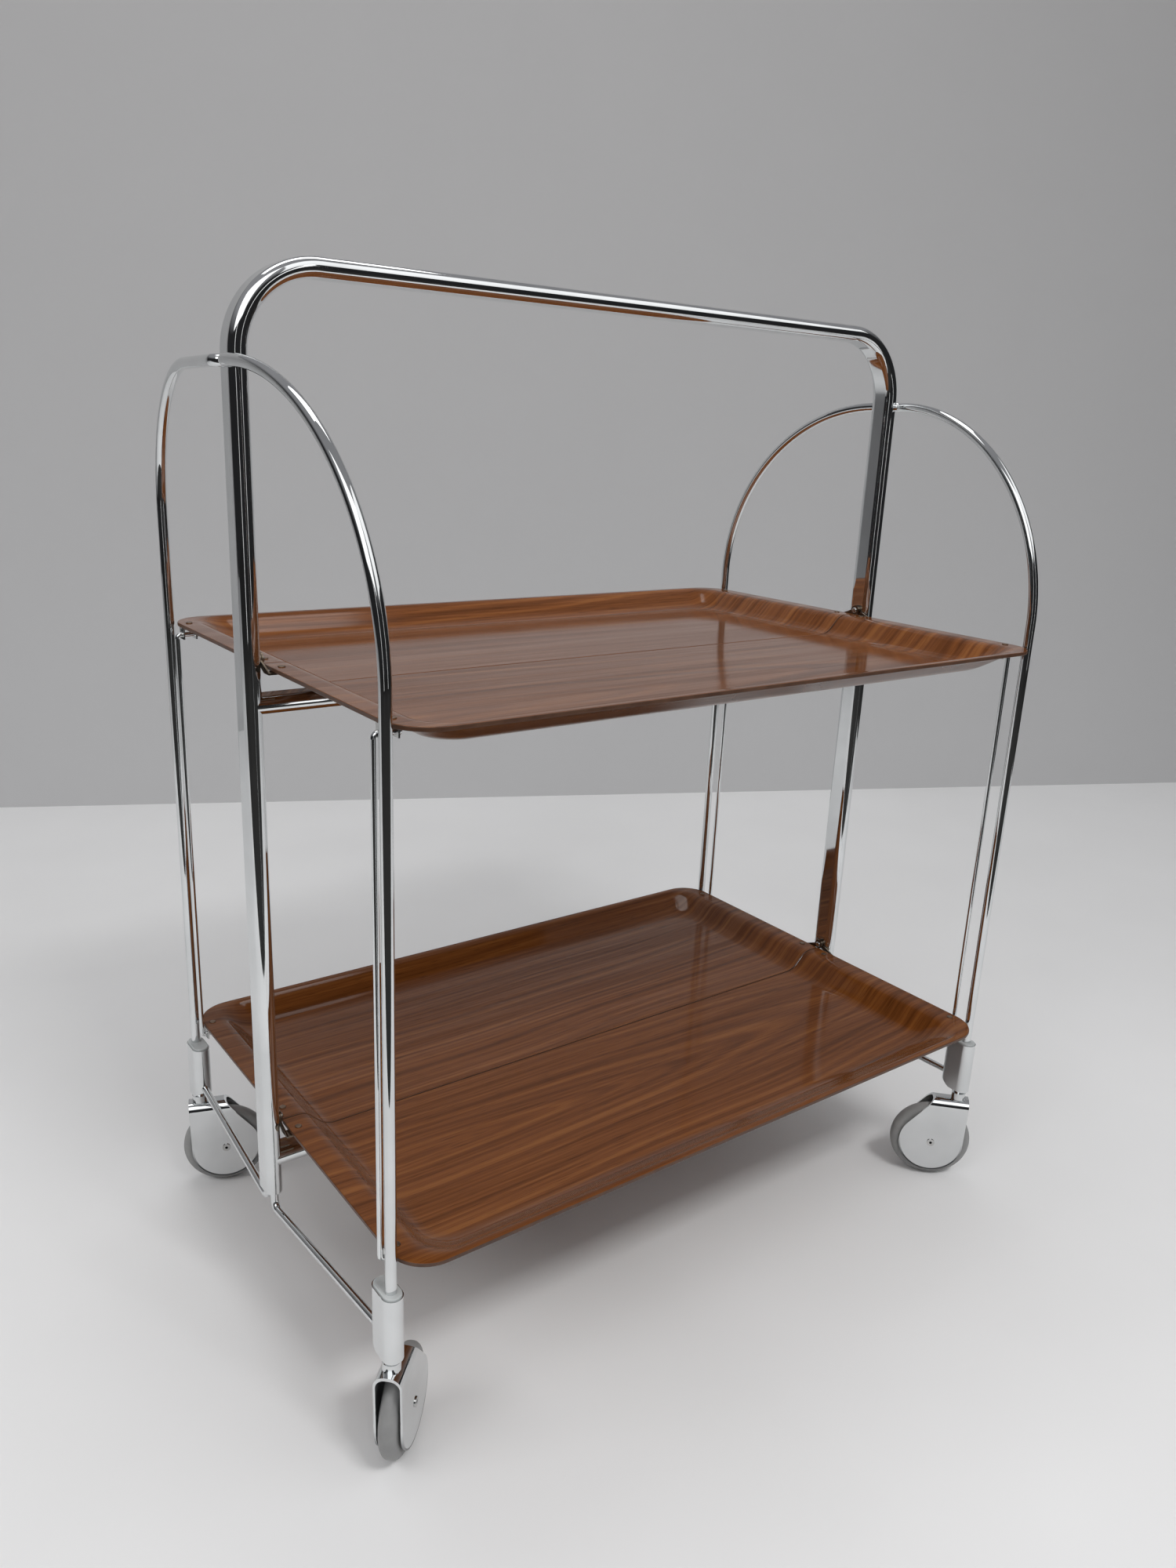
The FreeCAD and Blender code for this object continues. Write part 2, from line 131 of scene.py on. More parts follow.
# %% [markdown]
# ## From noise to values and colours
# A noise is only a number at each point. A map range stretches it to the values that are wanted, a ramp
# turns it into a colour, and a bump lets the light see it as relief. Object coordinates keep the marks on
# a piece when its joint turns.

# %% Noise to values and colours
noise_low, noise_high = 0.3, 0.7


def object_coordinates(tree):
    return add_node(tree, "ShaderNodeTexCoord").outputs["Object"]


def map_range(tree, value, from_low, from_high, to_low=0.0, to_high=1.0):
    node = add_node(tree, "ShaderNodeMapRange", From_Min=from_low, From_Max=from_high,
                    To_Min=to_low, To_Max=to_high)
    join(tree, value, node.inputs["Value"])
    return node.outputs["Result"]


def spread(tree, noise, low, high):
    # Nearly all of a noise lies between these two values
    return map_range(tree, noise, noise_low, noise_high, low, high)


def colour_ramp(tree, value, stops):
    # A new ramp has two stops, for the first and the last colour; those between are added
    ramp = add_node(tree, "ShaderNodeValToRGB")
    elements = ramp.color_ramp.elements
    for element, (position, colour) in zip(elements, (stops[0], stops[-1])):
        element.position = position
        element.color = (*colour, 1.0)
    for position, colour in stops[1:-1]:
        elements.new(position).color = (*colour, 1.0)
    join(tree, value, ramp.inputs["Fac"])
    return ramp.outputs["Color"]


def bump(tree, shader, height, strength, distance):
    node = add_node(tree, "ShaderNodeBump", Strength=strength, Distance=distance)
    join(tree, height, node.inputs["Height"])
    join(tree, node.outputs["Normal"], shader.inputs["Normal"])


# %% [markdown]
# ## A clouded finish
# Metal, rubber and plastic could each be wired on their own, but all follow one recipe: the smudges pick a
# tone between two colours and move the roughness between two values, and the hairlines lift the surface a
# little. So one function holds the recipe.

# %% Clouded finish
def clouded(name, tones, roughness, scales, relief):
    # Two colour stops, low and high roughness, scales of smudge and hairline, bump strength and depth
    material, tree, shader = start_material(name)
    wear = place_group(tree, marks, Smudge_Scale=scales[0], Hairline_Scale=scales[1])
    join(tree, object_coordinates(tree), wear.inputs["Vector"])
    smudge = wear.outputs["Smudge"]
    join(tree, colour_ramp(tree, smudge, tones), shader.inputs["Base Color"])
    join(tree, spread(tree, smudge, *roughness), shader.inputs["Roughness"])
    bump(tree, shader, wear.outputs["Hairlines"], *relief)
    return material, shader


# %% [markdown]
# ## Metals: chrome, plated pressings, rivets and pins
# Chrome on tube is a mirror with a faint veil. The pressed hinge pieces are plated and duller, rivet heads
# are satin from the setting tool, and the turned pins and axles lie in between. They differ only in
# colour, roughness and the strength of the hairlines, so one function makes all four.

# %% Metal finishes
metal_hairlines, metal_depth = 900.0, 0.0001
metal_dark_at, metal_light_at = 0.35, 0.65


def metal(name, dark, light, roughness, smudge_scale, hairline_strength):
    material, shader = clouded(name, ((metal_dark_at, dark), (metal_light_at, light)), roughness,
                               (smudge_scale, metal_hairlines), (hairline_strength, metal_depth))
    shader.inputs["Metallic"].default_value = 1.0
    print("metal", name)
    return material


chrome = metal("chrome", (0.69, 0.705, 0.71), (0.78, 0.795, 0.80), roughness=(0.02, 0.06),
               smudge_scale=14.0, hairline_strength=0.002)
plated = metal("plated_steel", (0.17, 0.13, 0.095), (0.28, 0.225, 0.17), roughness=(0.22, 0.38),
               smudge_scale=60.0, hairline_strength=0.12)
rivet_metal = metal("rivet_steel", (0.21, 0.14, 0.095), (0.32, 0.23, 0.17), roughness=(0.30, 0.45),
                    smudge_scale=120.0, hairline_strength=0.10)
pin_metal = metal("pin_steel", (0.52, 0.52, 0.51), (0.66, 0.66, 0.65), roughness=(0.10, 0.20),
                  smudge_scale=120.0, hairline_strength=0.05)

# %% [markdown]
# ## Rubber and plastic
# The wheels are mid grey rubber that dulls and lightens with floor dust, and the caps on the leg sleeves
# are light grey moulded plastic. The recipe is the same, with a fine moulded grain for the hairlines.

# %% Rubber and plastic
moulded_depth = 0.0002


def moulded(name, dark, light, roughness, smudge_scale, grain_scale, grain_strength):
    material = clouded(name, ((noise_low, dark), (noise_high, light)), roughness,
                       (smudge_scale, grain_scale), (grain_strength, moulded_depth))[0]
    print("moulded", name)
    return material


rubber = moulded("wheel_rubber", (0.23, 0.23, 0.23), (0.30, 0.30, 0.295), roughness=(0.36, 0.52),
                 smudge_scale=40.0, grain_scale=1500.0, grain_strength=0.05)
cap_plastic = moulded("cap_plastic", (0.42, 0.44, 0.44), (0.52, 0.54, 0.54), roughness=(0.32, 0.45),
                      smudge_scale=90.0, grain_scale=1800.0, grain_strength=0.04)

# %% [markdown]
# ## Wood grain
# The trays are pressed from a sheet printed like teak. A picture of veneer would be the quick way, but it
# repeats and cannot be changed, so the grain is grown instead. This first part of the group is a noise
# stretched along the sheet, which later gives streaks, fibres and pores by its scale alone.

# %% Stretched noise of the grain group
def math_node(tree, operation, first, second=None):
    node = add_node(tree, "ShaderNodeMath", operation=operation)
    for socket, value in zip(node.inputs, (first, second)):
        if value is None:
            continue
        if isinstance(value, (int, float)):
            socket.default_value = value
        else:
            join(tree, value, socket)
    return node.outputs[0]


grain, grain_in, grain_out = start_group(
    "TeakGrain",
    [("Vector", "NodeSocketVector", None), ("Axis Y", "NodeSocketFloat", 0.0),
     ("Axis Depth", "NodeSocketFloat", 0.05), ("Axis Slope", "NodeSocketFloat", 0.1),
     ("Seed", "NodeSocketFloat", 0.0)],
    [("Bands", "NodeSocketFloat"), ("Streaks", "NodeSocketFloat"), ("Fibres", "NodeSocketFloat"),
     ("Pores", "NodeSocketFloat")])
on_sheet = add_node(grain, "ShaderNodeSeparateXYZ")
join(grain, grain_in.outputs["Vector"], on_sheet.inputs["Vector"])
along, across, seed = on_sheet.outputs["X"], on_sheet.outputs["Y"], grain_in.outputs["Seed"]


def grain_noise(scale_along, scale_across, detail, roughness=0.5):
    # Noise over the sheet, stretched along the grain and shifted by the seed
    place = add_node(grain, "ShaderNodeCombineXYZ")
    join(grain, math_node(grain, "MULTIPLY", along, scale_along), place.inputs["X"])
    join(grain, math_node(grain, "MULTIPLY", across, scale_across), place.inputs["Y"])
    join(grain, seed, place.inputs["Z"])
    noise = add_node(grain, "ShaderNodeTexNoise", Scale=1.0, Detail=detail, Roughness=roughness)
    join(grain, place.outputs["Vector"], noise.inputs["Vector"])
    return noise.outputs["Fac"]


streaks = grain_noise(scale_along=2.2, scale_across=60.0, detail=2.0)
fibres = grain_noise(scale_along=5.0, scale_across=430.0, detail=3.0, roughness=0.55)
pores = grain_noise(scale_along=45.0, scale_across=1300.0, detail=1.0)
for label, noise in (("Streaks", streaks), ("Fibres", fibres), ("Pores", pores)):
    join(grain, noise, grain_out.inputs[label])
print("group", grain.name, "has streaks, fibres and pores")

# %% [markdown]
# ## Growth rings
# A sawn board shows nested arches because it cuts through the cone-shaped growth rings of a log. The
# second part of the group does the same: it measures the distance to a slightly tilted log axis, bends it
# with a slow noise, and turns it into uneven bands. A power below 2 makes the arches pointed.

# %% Growth rings of the grain group
bend_width, ring_density, seed_shift, arch_power = 0.034, 170.0, 7.3, 1.5
noise_middle = 0.5


def arch_term(distance):
    return math_node(grain, "POWER", math_node(grain, "ABSOLUTE", distance), arch_power)


slow_noise = grain_noise(scale_along=3.0, scale_across=6.0, detail=1.0)
slow_bend = math_node(grain, "SUBTRACT", slow_noise, noise_middle)
off_axis = math_node(grain, "SUBTRACT", across, grain_in.outputs["Axis Y"])
off_axis = math_node(grain, "ADD", off_axis, math_node(grain, "MULTIPLY", slow_bend, bend_width))
rise = math_node(grain, "MULTIPLY", along, grain_in.outputs["Axis Slope"])
depth = math_node(grain, "ADD", rise, grain_in.outputs["Axis Depth"])
powers = math_node(grain, "ADD", arch_term(off_axis), arch_term(depth))
ring = math_node(grain, "POWER", powers, 1.0 / arch_power)
ring = math_node(grain, "MULTIPLY", ring, ring_density)
ring = math_node(grain, "ADD", ring, math_node(grain, "MULTIPLY", seed, seed_shift))
bands = add_node(grain, "ShaderNodeTexNoise", noise_dimensions="1D", Scale=1.0, Detail=1.5,
                 Roughness=0.5)
join(grain, ring, bands.inputs["W"])
join(grain, bands.outputs["Fac"], grain_out.inputs["Bands"])
print("group", grain.name, "with", len(grain.nodes), "nodes")

# %% [markdown]
# ## Mixing two colours
# Pores are darker dots over the brown, and later the caster plates get a painted shade line over the
# chrome, the shadow in the gap beside each wheel. Both are one colour mixed into another, so a helper
# hides the Mix node, whose sockets are easy to confuse.

# %% Colour mix
def mix_colours(tree, first, second, factor=None, blend="MIX"):
    # A Mix node has a socket of each kind: its colours are inputs 6 and 7 and output 2
    node = add_node(tree, "ShaderNodeMix", data_type="RGBA", blend_type=blend)
    node.inputs["Factor"].default_value = 1.0
    if factor is not None:
        join(tree, factor, node.inputs["Factor"])
    for socket, colour in ((node.inputs[6], first), (node.inputs[7], second)):
        if isinstance(colour, tuple):
            socket.default_value = colour
        else:
            join(tree, colour, socket)
    return node.outputs[2]


# %% [markdown]
# ## The laminate itself
# Bands, streaks and fibres together pick a tone from a ramp of four browns, and pores darken it. The
# varnish is a thin coat that took unevenly, so its weight follows the streaks and fibres, and the gloss
# under it wanders with the smudges.

# %% Laminate material
tone_shares = {"Bands": 0.36, "Streaks": 0.32, "Fibres": 0.32}
browns = ((0.36, (0.086, 0.026, 0.006)), (0.46, (0.124, 0.039, 0.009)),
          (0.54, (0.161, 0.052, 0.012)), (0.63, (0.212, 0.076, 0.018)))
pore_starts, pore_full, pore_tone = 0.60, 0.72, 0.62
coat_starts, coat_full = 0.8, 1.2
laminate_smudge, fibre_strength, fibre_depth, laminate_specular = 9.0, 0.02, 0.0002, 0.20


def wood_tone(tree, wood):
    parts = [math_node(tree, "MULTIPLY", wood.outputs[mask], share)
             for mask, share in tone_shares.items()]
    return math_node(tree, "ADD", math_node(tree, "ADD", parts[0], parts[1]), parts[2])


def laminate(name, axis_y, axis_depth, axis_slope, seed_value,
             rough_low=0.09, rough_high=0.15, coat_most=0.36):
    material, tree, shader = start_material(name)
    place = object_coordinates(tree)
    wood = place_group(tree, grain, Axis_Y=axis_y, Axis_Depth=axis_depth, Axis_Slope=axis_slope,
                       Seed=seed_value)
    wear = place_group(tree, marks, Smudge_Scale=laminate_smudge)
    for group in (wood, wear):
        join(tree, place, group.inputs["Vector"])
    brown = colour_ramp(tree, wood_tone(tree, wood), browns)
    dots = map_range(tree, wood.outputs["Pores"], pore_starts, pore_full, 1.0, pore_tone)
    join(tree, mix_colours(tree, brown, dots, blend="MULTIPLY"), shader.inputs["Base Color"])
    join(tree, spread(tree, wear.outputs["Smudge"], rough_low, rough_high), shader.inputs["Roughness"])
    bump(tree, shader, wood.outputs["Fibres"], fibre_strength, fibre_depth)
    gloss = math_node(tree, "ADD", wood.outputs["Streaks"], wood.outputs["Fibres"])
    varnish = map_range(tree, gloss, coat_starts, coat_full, 0.0, coat_most)
    join(tree, varnish, shader.inputs["Coat Weight"])
    shader.inputs["Coat Roughness"].default_value = rough_low
    shader.inputs["Specular IOR Level"].default_value = laminate_specular
    return material


# %% [markdown]
# ## Sheets for the four tray halves
# Each tray half is cut from another part of the sheet, so the place of the log axis and the seed differ:
# an axis far outside the sheet gives straight grain, one within it gives arches. The lower front half has
# less varnish left. The back of the sheet is satin, and the cut edge shows a darker core.

# %% Cut the laminate sheets
# Log axis: its place across the sheet, its depth and its slope; then the seed
laminates = {
    "upper_front": laminate("laminate_upper_front", -0.12, 0.055, 0.09, 3.0),
    "upper_rear": laminate("laminate_upper_rear", 0.42, 0.050, 0.08, 11.0),
    "lower_front": laminate("laminate_lower_front", -0.075, 0.020, 0.09, 5.0, coat_most=0.14),
    "lower_rear": laminate("laminate_lower_rear", 0.46, 0.060, 0.09, 8.0),
}
sheet_back = laminate("laminate_back", 0.35, 0.055, 0.09, 17.0, rough_low=0.22, rough_high=0.34)
core = moulded("laminate_core", (0.060, 0.026, 0.014), (0.110, 0.052, 0.028), roughness=(0.35, 0.5),
               smudge_scale=60.0, grain_scale=900.0, grain_strength=0.08)
print("laminates", sorted(laminates))

# %% [markdown]
# ## Finish every CAD node
# The record names a material slot for each node, so the finish follows from the slot. Pins, axles and link
# brackets are brighter than the other pressings. The CAD meshes already have the right shape and smooth
# normals, and only their material slots are filled here.

# %% Assign materials to the CAD nodes
finish_of_slot = {"chrome": chrome, "plated_steel": plated, "rivet_steel": rivet_metal,
                  "cap_plastic": cap_plastic, "wheel_rubber": rubber, "wood_laminate": core}
slot_of_node = {entry["node"]: entry["material_slot"] for entry in frame["record"]["subparts"]}
bright_pieces = ("caster_axle", "hinge_pins", "link_brackets")
for name, node in nodes.items():
    bright = name.startswith(bright_pieces)
    node.data.materials.clear()
    node.data.materials.append(pin_metal if bright else finish_of_slot[slot_of_node[name]])
print("finished", len(nodes), "CAD nodes")

# %% [markdown]
# ## Broken edges
# No pressed or cut edge is perfectly sharp, and a mirror finish shows it: a narrow bevel catches a line of
# light. The edges could be rounded in CAD, but a modifier leaves the CAD mesh as it is.

# %% Bevel the pressed pieces
bevel_segments, bevel_angle = 2, math.radians(50)
bevel_widths = {"sleeve_": 0.0008, "caster_fork": 0.0004, "tray_ears": 0.0004, "link_brackets": 0.0004}


def break_edges(piece, width):
    edge = piece.modifiers.new("broken_edges", "BEVEL")
    edge.width = width
    edge.segments = bevel_segments
    edge.limit_method = "ANGLE"
    edge.angle_limit = bevel_angle


for start, width in bevel_widths.items():
    matching = [node for name, node in nodes.items() if name.startswith(start)]
    for node in matching:
        break_edges(node, width)
    print("broke the edges of", len(matching), "pieces named", start)

# %% [markdown]
# ## Painted gap shade on the fork plates
# In the photograph a dark line runs around each caster plate, the shadow in the gap beside the wheel. The
# line could be cut as a groove, but here it is painted shade: a group measures how far a point lies from
# the middle of the wheel, and its mask is full beyond the edge of the plate, but only below the plate's
# shoulders.

# %% Painted gap shade group
edge_starts, edge_full = 0.0302, 0.0307
shoulder_full, shoulder_ends = -0.018, 0.002
# Mask of the painted shade for the shadow in the gap between each caster plate and its wheel
plate_gap_shade, gap_shade_in, gap_shade_out = start_group(
    "PlatePaintedGapShade", [("Vector", "NodeSocketVector", None), ("Wheel Middle", "NodeSocketVector", None)],
    [("Painted Gap Shade", "NodeSocketFloat")])
from_middle = add_node(plate_gap_shade, "ShaderNodeVectorMath", operation="SUBTRACT")
join(plate_gap_shade, gap_shade_in.outputs["Vector"], from_middle.inputs[0])
join(plate_gap_shade, gap_shade_in.outputs["Wheel Middle"], from_middle.inputs[1])
reach = add_node(plate_gap_shade, "ShaderNodeVectorMath", operation="LENGTH")
join(plate_gap_shade, from_middle.outputs["Vector"], reach.inputs[0])
level_of = add_node(plate_gap_shade, "ShaderNodeSeparateXYZ")
join(plate_gap_shade, from_middle.outputs["Vector"], level_of.inputs["Vector"])
outside = map_range(plate_gap_shade, reach.outputs["Value"], edge_starts, edge_full)
below = map_range(plate_gap_shade, level_of.outputs["Z"], shoulder_full, shoulder_ends, 1.0, 0.0)
join(plate_gap_shade, math_node(plate_gap_shade, "MULTIPLY", outside, below), gap_shade_out.inputs["Painted Gap Shade"])
print("group", plate_gap_shade.name, "with", len(plate_gap_shade.nodes), "nodes")

# %% [markdown]
# ## Paint the gap shade on the plate edges
# Each fork gets its own copy of the chrome, because the middle of its wheel lies elsewhere. The mask mixes
# a near black painted shade into the chrome's colour and leaves everything else as it was.

# %% Paint the gap shade on the plate edges
# Near black painted shade for the gap beside each wheel
painted_gap_shade_colour = (0.07, 0.072, 0.075, 1.0)


def chrome_with_painted_gap_shade(name, middle):
    material = chrome.copy()
    material.name = name
    tree = material.node_tree
    colour = tree.nodes["Principled BSDF"].inputs["Base Color"]
    plain = colour.links[0].from_socket
    mask = place_group(tree, plate_gap_shade, Wheel_Middle=middle)
    join(tree, object_coordinates(tree), mask.inputs["Vector"])
    join(tree, mix_colours(tree, plain, painted_gap_shade_colour, mask.outputs["Painted Gap Shade"]), colour)
    return material


for name, node in nodes.items():
    if name.startswith("caster_fork"):
        corners = [Vector(corner) for corner in nodes[name.replace("fork", "wheel")].bound_box]
        middle = sum(corners, Vector()) / len(corners)
        node.data.materials[0] = chrome_with_painted_gap_shade("chrome_" + name, middle)
        print(name, "turns dark around", [round(value, 4) for value in middle])

# %% [markdown]
# ## Bent tube and rod
# A mirror finish shows every facet, so the bent tube and the four leg gates are swept again here, finer
# than the CAD mesh. A curve object with a bevel would do, but its normals are only averaged. Here the
# path is a list of straight runs and true arcs, as a bending machine makes them.

# %% Bent path
arc_step, fewest_steps = math.radians(2.0), 6


def bent_path(points, radii):
    # Points and headings along straight runs, with each inner corner rounded by its own radius
    path = [(points[0], (points[1] - points[0]).normalized())]
    for before, corner, after, radius in zip(points, points[1:], points[2:], radii):
        back, ahead = (before - corner).normalized(), (after - corner).normalized()
        half = back.angle(ahead) / 2
        centre = corner + (back + ahead).normalized() * (radius / math.sin(half))
        start = corner + back * (radius / math.tan(half)) - centre
        axis = ahead.cross(back).normalized()
        turn = math.pi - 2 * half
        steps = max(fewest_steps, math.ceil(turn / arc_step))
        for i in range(steps + 1):
            spoke = Quaternion(axis, turn * i / steps) @ start
            path.append((centre + spoke, axis.cross(spoke).normalized()))
    path.append((points[-1], (points[-1] - points[-2]).normalized()))
    return path


# %% [markdown]
# ## Outline of the tube
# The posts and the handle are flat oval tube, and a round rod is the same outline with no flat sides. Each
# point of the outline keeps its exact normal, so that the flats stay flat in the mirror.

# %% Oval outline
half_round_steps = 20


def oval_outline(wide, thick):
    # Points and normals of a stadium: two half rounds, whose ends the flat sides join
    radius, reach = thick / 2, (wide - thick) / 2
    outline = []
    for middle, first in ((reach, -90), (-reach, 90)):
        for i in range(half_round_steps + 1):
            angle = math.radians(first + 180 * i / half_round_steps)
            normal = Vector((math.cos(angle), math.sin(angle)))
            outline.append((Vector((middle, 0.0)) + normal * radius, normal))
    return outline


# %% [markdown]
# ## Sweep
# The outline is walked along the path. At each point the side of the tube turns by the same small turn as
# the path, so it never twists. The ends are closed by a cap or, on a tube, by a ring around its bore.

# %% Walls and ends of a sweep
def sweep_walls(path, outlines, wide_axis):
    # The first outline is the outside; a second one, if given, is the bore
    verts, normals, faces = [], [], []
    for turned_in, outline in enumerate(outlines):
        side, heading = wide_axis, path[0][1]
        first = len(verts)
        for place, direction in path:
            side = heading.rotation_difference(direction) @ side
            heading = direction
            cross = heading.cross(side)
            for point, normal in outline:
                verts.append(place + side * point.x + cross * point.y)
                normals.append((side * normal.x + cross * normal.y) * (-1 if turned_in else 1))
        count = len(outline)
        for i in range(len(path) - 1):
            low, high = first + i * count, first + (i + 1) * count
            for j in range(count):
                k = (j + 1) % count
                quad = [low + j, low + k, high + k, high + j]
                faces.append(quad[::-1] if turned_in else quad)
    return verts, normals, faces


def close_ends(path, outlines, verts, normals, faces):
    count = len(outlines[0])
    for ring, way in ((0, -1), (len(path) - 1, 1)):
        first = len(verts)
        for skin in range(len(outlines)):
            start = (skin * len(path) + ring) * count
            verts += [vert.copy() for vert in verts[start:start + count]]
            normals += [path[ring][1] * way] * count
        if len(outlines) == 1:
            faces.append(list(range(first, first + count))[::way])
            continue
        inner = first + count
        for j in range(count):
            k = (j + 1) % count
            faces.append([first + j, first + k, inner + k, inner + j][::way])


# %% [markdown]
# ## A swept piece
# Walls and ends become one mesh with custom normals. The piece rides on the frame in place of the CAD node
# that has the same shape.

# %% Swept piece
def add_object(name, mesh):
    piece = bpy.data.objects.new(name, mesh)
    bpy.context.scene.collection.objects.link(piece)
    return piece


def sweep(name, path, outlines, wide_axis):
    verts, normals, faces = sweep_walls(path, outlines, wide_axis)
    close_ends(path, outlines, verts, normals, faces)
    mesh = bpy.data.meshes.new(name)
    mesh.from_pydata(verts, [], faces)
    mesh.polygons.foreach_set("use_smooth", [True] * len(mesh.polygons))
    mesh.normals_split_custom_set_from_vertices(normals)
    mesh.materials.append(chrome)
    return add_object(name, mesh)


def put_on_frame(piece, node_name):
    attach(piece, "frame")
    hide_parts(node_name)
    print(piece.name, len(piece.data.vertices), "vertices")


# %% [markdown]
# ## The inverted U
# One flat oval tube forms both posts and the handle. It is bent twice with the same radius, and its feet
# are open, so it is swept with a bore.

# %% Sweep the main tube
post_x, tube_wide, tube_thick, tube_wall = 0.3104, 0.024, 0.013, 0.0015
post_foot, handle_top, handle_bend = 0.1115, 0.779, 0.056
tube_path = bent_path([Vector((-post_x, 0, post_foot)), Vector((-post_x, 0, handle_top)),
                       Vector((post_x, 0, handle_top)), Vector((post_x, 0, post_foot))],
                      [handle_bend, handle_bend])
tube_skins = [oval_outline(tube_wide, tube_thick),
              oval_outline(tube_wide - 2 * tube_wall, tube_thick - 2 * tube_wall)]
put_on_frame(sweep("swept_main_tube", tube_path, tube_skins, Vector((0, 1, 0))), "main_tube")

# %% [markdown]
# ## The leg gates
# Each leg gate is one round rod: a hook into the post, a quarter arch and a straight leg down into its
# sleeve. The rear left arch has a longer straight run before its bend, so it is squarer than the others.

# %% Sweep the leg gates
gate_radius, hook_bend, hook_y, hook_depth = 0.004, 0.007, 0.0052, 0.005
leg_x, leg_y, leg_foot, arch_top = 0.3035, 0.1907, 0.126, 0.7193
shoulder_run = {"front_left": 0.014, "front_right": 0.014, "rear_left": 0.085, "rear_right": 0.014}
post_face = post_x + tube_thick / 2
round_outline = [oval_outline(2 * gate_radius, 2 * gate_radius)]
for corner, run in shoulder_run.items():
    x_sign = -1 if "left" in corner else 1
    y_sign = -1 if "front" in corner else 1
    gate_path = bent_path([Vector((x_sign * (post_face - hook_depth), y_sign * hook_y, arch_top)),
                           Vector((x_sign * (post_face + gate_radius), y_sign * hook_y, arch_top)),
                           Vector((x_sign * leg_x, y_sign * leg_y, arch_top)),
                           Vector((x_sign * leg_x, y_sign * leg_y, leg_foot))],
                          [hook_bend, leg_y - run])
    gate = sweep("swept_gate_" + corner, gate_path, round_outline, Vector((0, 0, 1)))
    put_on_frame(gate, "gate_rod_" + corner)

# %% [markdown]
# ## Section of a tray
# A tray is one sheet pressed over a form: a flat lip, a sloping wall and a flat floor, with soft creases
# between. It could be lofted in CAD, but the creases catch the light only if they are truly round, so the
# section here is three straight runs with short curves between them.

# %% Tray section
half_length, half_depth, rim_radius = 0.2995, 0.2074, 0.029
tray_drop = -0.017
# Inset along X, inset along Y, corner radius and height at the four corners of the section
section = [Vector((0.0, 0.0, rim_radius, 0.0)), Vector((0.019, 0.006, 0.026, 0.0)),
           Vector((0.036, 0.031, 0.022, tray_drop)), Vector((0.066, 0.061, 0.016, tray_drop))]
# Share of the run before and after the crease that it takes up, and its steps
mouth_crease, floor_crease = (0.38, 0.26, 9), (0.34, 0.28, 12)


def crease(before, corner, after, shape):
    share_before, share_after, steps = shape
    start, end = corner.lerp(before, share_before), corner.lerp(after, share_after)
    points = []
    for i in range(steps + 1):
        done = i / steps
        left = 1 - done
        points.append(start * left ** 2 + corner * (2 * done * left) + end * done ** 2)
    return points


rim_edge, mouth, floor_edge, floor_inside = section
section_rings = [rim_edge, *crease(rim_edge, mouth, floor_edge, mouth_crease),
                 *crease(mouth, floor_edge, floor_inside, floor_crease), floor_inside]
print("tray section with", len(section_rings), "rings")

# %% [markdown]
# ## Rings around the tray
# Each point of the section becomes a closed ring around the tray: a rounded rectangle, with a quarter
# round at each corner and a few points along each side. All rings have the same number of points, so that
# neighbours can be joined point by point.

# %% Tray rings
corner_steps, side_steps = 14, 10
corner_signs = ((1, 1), (-1, 1), (-1, -1), (1, -1))


def ring_points(inset_x, inset_y, radius, height):
    middle_x, middle_y = half_length - inset_x - radius, half_depth - inset_y - radius
    arcs = []
    for turn, (x_sign, y_sign) in enumerate(corner_signs):
        arc = []
        for i in range(corner_steps + 1):
            angle = math.radians(90 * turn + 90 * i / corner_steps)
            arc.append(Vector((x_sign * middle_x + radius * math.cos(angle),
                               y_sign * middle_y + radius * math.sin(angle), height)))
        arcs.append(arc)
    points = []
    for turn, arc in enumerate(arcs):
        following = arcs[(turn + 1) % len(arcs)][0]
        points += arc + [arc[-1].lerp(following, i / side_steps) for i in range(1, side_steps)]
    return points


# %% [markdown]
# ## Skins of the tray
# The upper and lower skins are the same rings, one sheet thickness apart, and the rim closes them. A
# solidify modifier would do this too, but the tray is cut in two next, and the cut needs both skins in the
# mesh. The face, the cut edge and the satin back each have their own material slot.

# %% Press a whole tray
sheet = 0.003
face_slot, core_slot, back_slot = 0, 1, 2


def band(tray, outer, inner, slot):
    count = len(outer)
    for i in range(count):
        j = (i + 1) % count
        tray.faces.new((outer[i], outer[j], inner[j], inner[i])).material_index = slot


def pressed_tray(rim):
    tray = bmesh.new()
    skins = []
    for drop in (0.0, -sheet):
        skin = []
        for inset_x, inset_y, radius, height in section_rings:
            ring = ring_points(inset_x, inset_y, radius, rim + height + drop)
            skin.append([tray.verts.new(point) for point in ring])
        skins.append(skin)
    for skin, slot in zip(skins, (face_slot, back_slot)):
        for outer, inner in zip(skin, skin[1:]):
            band(tray, outer, inner, slot)
        tray.faces.new(skin[-1]).material_index = slot
    band(tray, skins[0][0], skins[1][0], core_slot)
    return tray


# %% [markdown]
# ## Split the tray
# The whole tray is cut along the centre line like the real one, with a narrow gap, and the cut is closed
# so that it shows the core of the sheet. A very small bevel then breaks every sharp edge.

# %% Split a tray
split_gap, smooth_below, sheet_bevel = 0.0014, math.radians(40), 0.0005


def cut_half(tray, side):
    everything = tray.verts[:] + tray.edges[:] + tray.faces[:]
    cut = bmesh.ops.bisect_plane(tray, geom=everything, plane_co=(0, side * split_gap / 2, 0),
                                 plane_no=(0, side, 0), clear_inner=True)
    cut_edges = [part for part in cut["geom_cut"] if isinstance(part, bmesh.types.BMEdge)]
    closed = bmesh.ops.holes_fill(tray, edges=cut_edges, sides=0)
    for face in closed["faces"]:
        face.material_index = core_slot
    bmesh.ops.recalc_face_normals(tray, faces=tray.faces[:])


